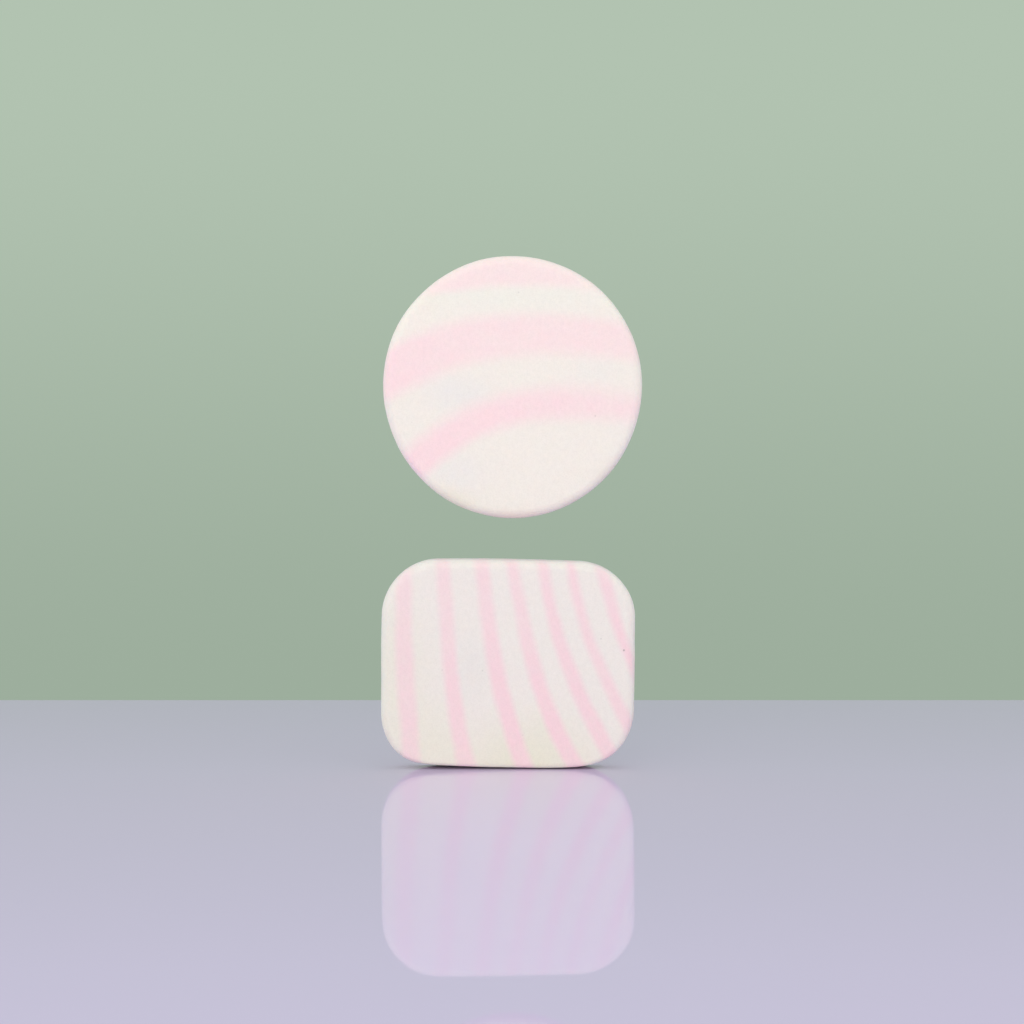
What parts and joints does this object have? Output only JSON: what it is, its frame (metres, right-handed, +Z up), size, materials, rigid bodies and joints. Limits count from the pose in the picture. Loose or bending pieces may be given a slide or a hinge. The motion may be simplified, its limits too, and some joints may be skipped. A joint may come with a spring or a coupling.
{
  "type": "makeup sponge set",
  "caption": "Round and rounded-rectangle makeup sponges in marbled cream and pink foam, with flat faces and rolled edges, the round one lifting away.",
  "frame": {"origin": "middle of the flat that the rectangular sponge stands on, halfway through the foam's thickness", "axes": "+Z up, from the rectangular sponge to the round one; +X to the viewer's right; +Y away from the viewer, through the foam, so the front faces look along -Y"},
  "size_m": [0.0566, 0.008, 0.1105],
  "materials": {
    "cream_foam": "matte fine-celled foam, cream",
    "pink_foam": "matte fine-celled foam, soft pink"
  },
  "bodies": {
    "rectangular_sponge": {"rectangle_cream_1": "cream_foam", "rectangle_pink_1": "pink_foam", "rectangle_cream_2": "cream_foam", "rectangle_pink_2": "pink_foam", "rectangle_cream_3": "cream_foam", "rectangle_pink_3": "pink_foam", "rectangle_cream_4": "cream_foam", "rectangle_pink_4": "pink_foam", "rectangle_cream_5": "cream_foam", "rectangle_pink_5": "pink_foam", "rectangle_cream_6": "cream_foam", "rectangle_pink_6": "pink_foam", "rectangle_cream_7": "cream_foam", "rectangle_pink_7": "pink_foam", "rectangle_cream_8": "cream_foam"},
    "round_sponge": {"round_pink_1": "pink_foam", "round_cream_1": "cream_foam", "round_pink_2": "pink_foam", "round_cream_2": "cream_foam", "round_pink_3": "pink_foam", "round_cream_3": "cream_foam"}
  },
  "joints": [
    {"name": "round_sponge_lift", "type": "slide", "parent": "rectangular_sponge", "child": "round_sponge", "axis": [0, 0, 1], "range_m": [0, 0.06]}
  ]
}
